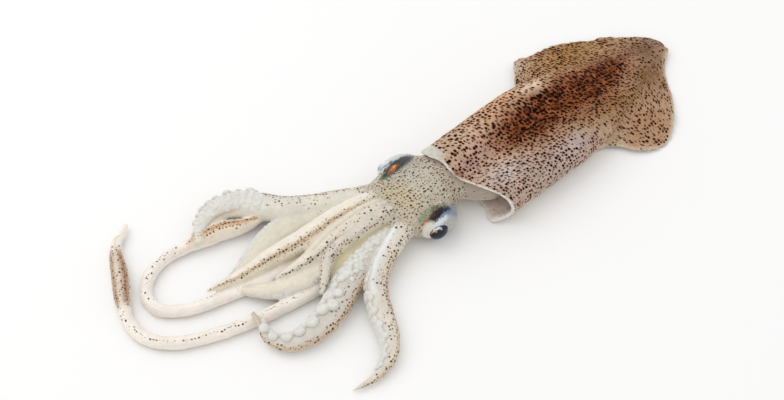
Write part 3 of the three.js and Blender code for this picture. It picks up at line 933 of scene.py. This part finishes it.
# Patches round the eyes: their own colours, and two patches of painted shade on the near eyeball's pale lower
# side.
eyeColoursAndShade = [
    ((-84, 29.6), (9.5, 2.2), rgb(206, 212, 214), 0.85),
    ((-84.6, 24.3), (9.6, 3.0), rgb(34, 42, 36), 0.95),
    ((-91.4, 24), (3, 1.8), rgb(56, 84, 62), 0.8),
    ((-90.4, 24.6), (1.6, 0.8), rgb(20, 24, 18), 0.8),
    ((-78.4, 23.8), (4, 1.8), rgb(60, 72, 86), 0.75),
    ((-79, 27.8), (5, 1.4), rgb(196, 200, 202), 0.85),
    ((-88.6, 29.2), (1.5, 0.8), rgb(92, 106, 122), 0.85),
    ((-86.8, 28.5), (1.6, 0.8), rgb(92, 106, 122), 0.85),
    ((-84.9, 27.9), (1.4, 0.8), rgb(92, 106, 122), 0.85),
    ((-87.8, 29.5), (1.5, 0.5), rgb(216, 222, 226), 0.9),
    ((-85.9, 28.9), (1.4, 0.5), rgb(216, 222, 226), 0.9),
    ((-86.6, 24), (3.2, 1.2), rgb(176, 84, 24), 0.9),
    ((-85.4, 24.4), (1.2, 0.5), rgb(228, 168, 84), 0.7),
    ((-87.4, 24.3), (0.7, 0.4), rgb(214, 128, 50), 0.7),
    ((-88.4, 23.6), (1.0, 0.6), rgb(120, 52, 14), 0.8),
    ((-84.6, 23.6), (0.7, 0.4), rgb(96, 44, 18), 0.7),
    ((-90.5, -4.8), (5, 2.2), rgb(96, 104, 58), 0.6),
    ((-84, -6.4), (3.6, 1.6), rgb(72, 80, 44), 0.6),
    ((-88, -5.2), (2.4, 0.8), rgb(40, 44, 22), 0.6),
    ((-95, -5), (2.2, 1.6), rgb(104, 132, 116), 0.6),
    ((-88.6, -8), (5.6, 2.0), rgb(12, 8, 4), 1.0),
    ((-94, -8), (2.4, 0.6), rgb(30, 22, 16), 0.8),
    ((-82.8, -8.8), (2.8, 1.4), rgb(24, 32, 56), 0.95),
    ((-90.8, -7.2), (1.8, 0.7), rgb(92, 44, 18), 0.6),
    ((-94.8, -6.7), (1.9, 0.9), rgb(170, 98, 56), 0.85),
    ((-89.4, -11.1), (7, 1.1), rgb(218, 226, 232), 0.95),
    # This patch and the last one are the near eyeball's pale lower side darkened with painted shade.
    ((-82, -11.6), (3.6, 2.4), rgb(132, 146, 164), 0.85),
    ((-85.6, -9.9), (4.6, 0.7), rgb(116, 134, 160), 0.75),
    ((-80, -8.6), (1.8, 1.8), rgb(150, 160, 172), 0.7),
    ((-95.6, -9.6), (3.4, 2.4), rgb(226, 222, 210), 0.85),
    ((-85, -13), (6, 1.8), rgb(176, 178, 172), 0.85),
]
headSkin = rgb(200, 193, 178)
neckSkin = rgb(181, 168, 151)
fleshUnder = rgb(226, 218, 204)
paleness = 1.12  # how much lighter the limbs are than the tints given for them


def headPlace(t, a):
    x = mix(head["neckEnd"], head["front"], t)
    y = head["middle"](x) - head["half"](x) * head["width"] * signedPower(math.sin(a), head["round"])
    rise = head["rise"](x) * head["height"] * signedPower(math.cos(a), head["round"])
    return Vector((x, y, head["lift"](x) + rise))


def headHeart(t):
    x = mix(head["neckEnd"], head["front"], t)
    return Vector((x, head["middle"](x), head["lift"](x)))


def funnelPlace(t, a):
    x, y, z, half, rise = [mix(base, end, t) for base, end in zip(funnel["base"], funnel["end"])]
    return Vector((x, y - half * math.sin(a), z + rise * math.cos(a)))


def funnelHeart(t):
    return Vector([mix(base, end, t) for base, end in zip(funnel["base"][:3], funnel["end"][:3])])


def eyePlace(eye):
    spin = Matrix.Rotation(eyeTurn, 3, "Z")

    def place(t, a):
        ring = math.sin(math.pi * mix(*eyePoles, t))
        out = Vector((math.cos(math.pi * t), -ring * math.sin(a), ring * math.cos(a)))
        return Vector(eye["centre"]) + spin @ Vector([o * r for o, r in zip(out, eye["radii"])])

    return place


# A club leans towards its start, is full in the middle and settles into the tip.
clubShape = {"lean": 0.7, "fullness": 1.2, "settle": 0.08, "onset": 4}
bellyFall = 1.5


def halfWidth(limb, t):
    root, belly, tip = limb["root"], limb["belly"], limb["tip"]
    if "club" not in limb:
        if t < limb["bellyAt"]:
            return mix(root, belly, smooth(t / limb["bellyAt"]))
        return mix(belly, tip, ((t - limb["bellyAt"]) / (1 - limb["bellyAt"])) ** bellyFall)
    start, half = limb["club"]
    along = clamp((t - start) / (1 - start))
    lean, fullness, settle = clubShape["lean"], clubShape["fullness"], clubShape["settle"]
    swelling = math.sin(math.pi * along**lean) ** fullness if 0 < along < 1 else 0.0
    stalk = mix(belly, tip, smooth((t - start - settle) / (1 - start - settle)))
    return mix(mix(root, belly, t), stalk, smooth(along * clubShape["onset"])) + (half - belly) * swelling


# The middle of a limb's section, the way to its left and the way up.
def sectionOf(limb, t):
    centre, along = limb["line"](t)
    left = Vector((0, 0, 1)).cross(along).normalized()
    return centre, left, along.cross(left)


def limbPlace(limb):
    def place(t, a):
        centre, left, rise = sectionOf(limb, t)
        half = halfWidth(limb, t)
        return centre + left * half * math.sin(a) + rise * half * limb["flat"] * math.cos(a)

    return place


bandEnd = 0.03  # the share of a limb over which a stripe or band fades out


# How much of a stripe or band shows at a place on its limb.
def shownAt(band, t, a):
    at, wide, start, end = band[:4]
    ends = smooth((t - start) / bandEnd + 0.5) * smooth((end - t) / bandEnd + 0.5)
    return ends * hill(a - at, wide)


def fleshRelief(point, part, t, a):
    if point.z < restHeight:
        return 0.0
    height = lumps(point, head["lumps"], head["fineLumps"], 3)
    if part not in limbs:
        return height * head["calmness"]
    return height + sum(line[-1] * shownAt(line, t, a) for line in limbs[part]["stripes"])


def paintHead(point):
    tint = patchwork(headSkin, point.x, point.y, headPatches)
    neck = fade(point.x, *head["neckFade"])
    big, small = [mix(*shares, neck) for shares in zip(head["spots"], head["neckSpots"])]
    return tint.lerp(neckSkin, neck), big, small


# Where the limbs' roots come up through the head, its own coordinates keep the spots whole.
def onCrown(point):
    length, reach = head["crownWaver"]
    edge = head["crownEdge"] + reach * noise.noise(point / length)
    return edge < point.x < head["crownBack"] and point.y > head["crownSide"]


def paintFlesh(point, normal, part, t, a):
    tint, big, small = paintHead(point)
    if part in limbs:
        limb = limbs[part]
        limbTint, limbBig, limbSmall = limb["tint"] * paleness, 0.0, 0.03
        for line in limb["stripes"]:
            colour, amount = line[4:6]
            limbTint = limbTint.lerp(colour, amount * shownAt(line, t, a))
        for band in limb["bands"]:
            amount, bigShare = band[4:]
            shown = shownAt(band, t, a) * amount
            limbBig, limbSmall = max(limbBig, shown * bigShare), max(limbSmall, shown)
        share = fade(point.x, *head["rootFade"])
        tint = limbTint.lerp(tint, share)
        big, small = mix(limbBig, big, share), mix(limbSmall, small, share)
    under = facingDown(normal, *flesh["under"])
    return tint.lerp(fleshUnder, flesh["underTint"] * under), (big * (1 - under), small * (1 - under), 0.0)


fleshLook = {
    "gloss": {
        "Subsurface Weight": 0.2, "Subsurface Scale": 0.0025, "Subsurface Radius": (1, 0.8, 0.65),
        "Coat Weight": 0.24, "Coat Roughness": 0.12, "Specular IOR Level": 0.3,
    },
    "sheen": 0.026,
    "mottle": [(140.0, 0.05), (520.0, 0.04)],
    "cloud": 200.0, "stain": [(150, 110, 80), (196, 160, 120)], "waver": 0.6, "fibre": 0.05,
    "grain": 700.0, "bump": 0.28, "dry": (0.28, 0.42), "patches": eyeColoursAndShade,
    "layers": [
        {
            "amount": 1, "spacing": 1.1, "radius": (0.14, 0.4), "edge": 0.18, "strength": 1.0,
            "pale": (156, 98, 52), "dark": (92, 52, 28),
        },
        {
            "amount": 0, "spacing": 1.62, "radius": (0.26, 0.6), "edge": 0.2, "strength": 1.4,
            "pale": (84, 38, 20), "dark": (18, 8, 4), "halo": (0.26, (168, 138, 106), 0.4),
        },
    ],
}
# The limbs' rows are a step apart, and their flat coordinates begin a stride apart.
flesh = {
    "cell": 0.61, "rounds": 4, "sides": 24, "step": 1.4, "limbsFrom": 300.0, "stride": 200,
    "under": (1.5, 0.1), "underTint": 0.6,
}


def makeFlesh():
    bm = bmesh.new()
    samples = []
    loft(bm, samples, "head", head["grid"], headPlace, headHeart)
    loft(bm, samples, "funnel", funnel["grid"], funnelPlace, funnelHeart)
    for name, eye in eyes.items():
        place = eyePlace(eye)
        loft(bm, samples, name, eyeGrid, place, middleOf(place))
    for i, (name, limb) in enumerate(limbs.items()):
        rows = round(limb["length"] / flesh["step"])
        grid = (rows, flesh["sides"], flesh["limbsFrom"] + flesh["stride"] * i)
        loft(bm, samples, name, grid, limbPlace(limb), lambda t, line=limb["line"]: line(t)[0])
    piece, bm = fuse("fleshSkin", bm, flesh["cell"], flesh["rounds"])
    paintSkin(piece, bm, samples, fleshRelief, paintFlesh, fleshLook["sheen"], onCrown)
    finishPiece(piece, wetSkin("creamFlesh", fleshLook))


# The suckers: low round cups sunk in the flesh, repeated along the limbs
cup = {
    "around": 14, "rows": 8, "squash": 0.9, "dimple": 0.34, "dimpleWidth": 0.45, "crest": 0.35, "lowest": 0.6,
    "cell": 0.38, "rounds": 2, "sway": 0.08, "sizes": (0.85, 1.15), "slide": 0.003, "taperPower": 1.4,
    "firstSize": (0.55, 6),
}
# Cups are painted lighter at the crest and darker down the sides: painted highlight and painted shade on the
# pearly cups.
cupLitCrest, cupShadedSide = rgb(226, 224, 218), rgb(204, 198, 184)
pearlLook = {
    "gloss": {
        "Subsurface Weight": 0.3, "Subsurface Scale": 0.002, "Subsurface Radius": (1, 0.9, 0.8),
        "Coat Weight": 0.4, "Coat Roughness": 0.1, "Specular IOR Level": 0.4,
    },
    "sheen": 0.03,
    "mottle": [(160.0, 0.05), (600.0, 0.05)],
    "cloud": 260.0, "stain": [(206, 208, 208), (228, 222, 208)], "waver": 0.3, "fibre": 0.0,
    "grain": 1200.0, "bump": 0.12, "dry": (0.24, 0.36), "layers": [],
}


def cupMesh():
    bm = bmesh.new()
    bmesh.ops.create_uvsphere(bm, u_segments=cup["around"], v_segments=cup["rows"], radius=1)
    bmesh.ops.scale(bm, vec=(1, 1, cup["squash"]), verts=bm.verts)
    for vertex in bm.verts:
        dent = hill(math.hypot(vertex.co.x, vertex.co.y), cup["dimpleWidth"])
        vertex.co.z -= cup["dimple"] * dent * (vertex.co.z > 0)
    mesh = bpy.data.meshes.new("cup")
    bm.to_mesh(mesh)
    bm.free()
    return mesh


# The places of a field of cups, in staggered columns, closer where the cups are smaller.
def cupPlaces(limb, field):
    t, odd = field["from"], False
    while t < field["to"]:
        share = (t - field["from"]) / (field["to"] - field["from"])
        size = field["radius"] * mix(1, field["taper"], share ** cup["taperPower"])
        first, growth = cup["firstSize"]
        size *= smooth(first + share * growth)
        step = field["across"] * size / halfWidth(limb, t)
        a = field["low"] + (step / 2 if odd else 0)
        while a < field["high"]:
            yield t, a, size
            a += step
        t += field["along"] * size / limb["length"]
        odd = not odd


# Puts a cup on a limb, turned outward, and notes how near its crest each of its points is.
def addCup(bm, samples, template, limb, stand, t, a, size, slide):
    centre, left, rise = sectionOf(limb, t + slide)
    half = halfWidth(limb, t)
    outward = (left * math.sin(a) + rise * math.cos(a) / limb["flat"]).normalized()
    spot = centre + left * half * math.sin(a) + rise * half * limb["flat"] * math.cos(a)
    spot += outward * size * stand
    spot.z = max(spot.z, size * cup["lowest"])
    turn = outward.to_track_quat("Z", "Y").to_matrix().to_4x4()
    fresh = len(bm.verts)
    bm.from_mesh(template)
    bm.verts.ensure_lookup_table()
    made = bm.verts[fresh:]
    bmesh.ops.transform(bm, matrix=Matrix.Translation(spot) @ turn @ Matrix.Scale(size, 4), verts=made)
    for vertex in made:
        crest = (vertex.co - spot).dot(outward) / size + cup["crest"]
        samples.append((vertex.co.copy(), "cup", crest, 0, (0, 0), left, rise, 0, 0))


# Painted highlight on the crest of each cup and painted shade down its sides.
def paintCup(point, normal, part, t, a):
    return cupShadedSide.lerp(cupLitCrest, smooth(t)), (0, 0, 0.4)


def makeSuckers():
    chance = random.Random(7)
    bm = bmesh.new()
    template = cupMesh()
    samples = []
    for limb in limbs.values():
        for field in limb["suckers"]:
            for t, a, size in cupPlaces(limb, field):
                a += chance.uniform(-cup["sway"], cup["sway"])
                size *= chance.uniform(*cup["sizes"])
                slide = chance.uniform(-cup["slide"], cup["slide"])
                addCup(bm, samples, template, limb, field["stand"], t, a, size, slide)
    piece, bm = fuse("suckerCups", bm, cup["cell"], cup["rounds"])
    paintSkin(piece, bm, samples, lambda point, part, t, a: 0.0, paintCup, pearlLook["sheen"])
    finishPiece(piece, wetSkin("pearlFlesh", pearlLook))


# The eyes' wet lenses
lens = {
    "radius": 6.8, "shape": (0.68, 0.46, 0.56), "around": 40, "rows": 24, "cloud": 260.0, "hue": (0.4, 0.65),
    "gloss": {"Roughness": 0.1, "Coat Weight": 0.25, "Coat Roughness": 0.03, "Specular IOR Level": 0.3},
}
lensLook = {
    "farEye": {
        "dark": (138, 153, 168), "light": (200, 208, 215),
        "patches": [
            ((-84.6, 29.6), (3, 0.7), rgb(84, 98, 114), 0.8),
            ((-86, 31.4), (2.2, 0.7), rgb(238, 242, 244), 0.9),
            ((-84.8, 33.7), (3.4, 1.1), rgb(14, 20, 34), 1.0),
        ],
    },
    "nearEye": {
        "dark": (8, 12, 26), "light": (22, 34, 58),
        # The near lens's patches are a painted reflection: a pale C-shaped highlight with a golden and orange
        # edge.
        "patches": [
            ((-93.7, -11.5), (0.9, 0.6), rgb(206, 206, 184), 0.95),
            ((-92.6, -12), (0.9, 0.6), rgb(220, 228, 216), 0.98),
            ((-91.6, -12.4), (0.9, 0.6), rgb(206, 218, 216), 0.95),
            ((-91, -13.1), (0.6, 0.6), rgb(168, 184, 190), 0.85),
            ((-93.6, -12.5), (0.5, 0.5), rgb(170, 150, 118), 0.8),
            ((-94.9, -11.2), (0.5, 0.6), rgb(176, 110, 64), 0.8),
        ],
    },
}


def makeLens(name):
    look = lensLook[name]
    bm = bmesh.new()
    bmesh.ops.create_uvsphere(bm, u_segments=lens["around"], v_segments=lens["rows"], radius=lens["radius"])
    bmesh.ops.scale(bm, vec=lens["shape"], verts=bm.verts)
    bmesh.ops.rotate(bm, matrix=Matrix.Rotation(eyeTurn, 3, "Z"), verts=bm.verts)
    bmesh.ops.translate(bm, vec=eyes[name]["lens"], verts=bm.verts)
    bmesh.ops.scale(bm, vec=(mm, mm, mm), verts=bm.verts)
    for face in bm.faces:
        face.smooth = True
    piece = newPiece(name + "Lens", bm)
    material, tree, shader = newMaterial(name + "Glass", lens["gloss"])
    place = add(tree, "ShaderNodeTexCoord").outputs["Object"]
    hue = stretch(tree, clouds(tree, place, lens["cloud"], 2.0), *lens["hue"])
    colour = blendColours(tree, hue, rgb(*look["dark"]), rgb(*look["light"]))
    for patch in look["patches"]:
        colour = patchLayer(tree, place, colour, patch)
    tree.links.new(colour, shader.inputs["Base Color"])
    finishPiece(piece, material)


table = {
    "half": 3, "drop": 0.0002, "gloss": {"Roughness": 0.7, "Specular IOR Level": 0.2},
    "colour": (0.955, 0.95, 0.946, 1),
}


def makeFloor():
    bm = bmesh.new()
    bmesh.ops.create_grid(bm, x_segments=1, y_segments=1, size=table["half"])
    bmesh.ops.translate(bm, vec=(0, 0, -table["drop"]), verts=bm.verts)
    floor = newPiece("table", bm)
    material, _, shader = newMaterial("whiteTable", table["gloss"])
    shader.inputs["Base Color"].default_value = table["colour"]
    floor.data.materials.append(material)
    print("the table is in place")


def writeSizes():
    print("all the pieces are made")


makeCameraAndLight()
makeFloor()
makeMantle()
makeFlesh()
makeSuckers()
for name in eyes:
    makeLens(name)
writeSizes()
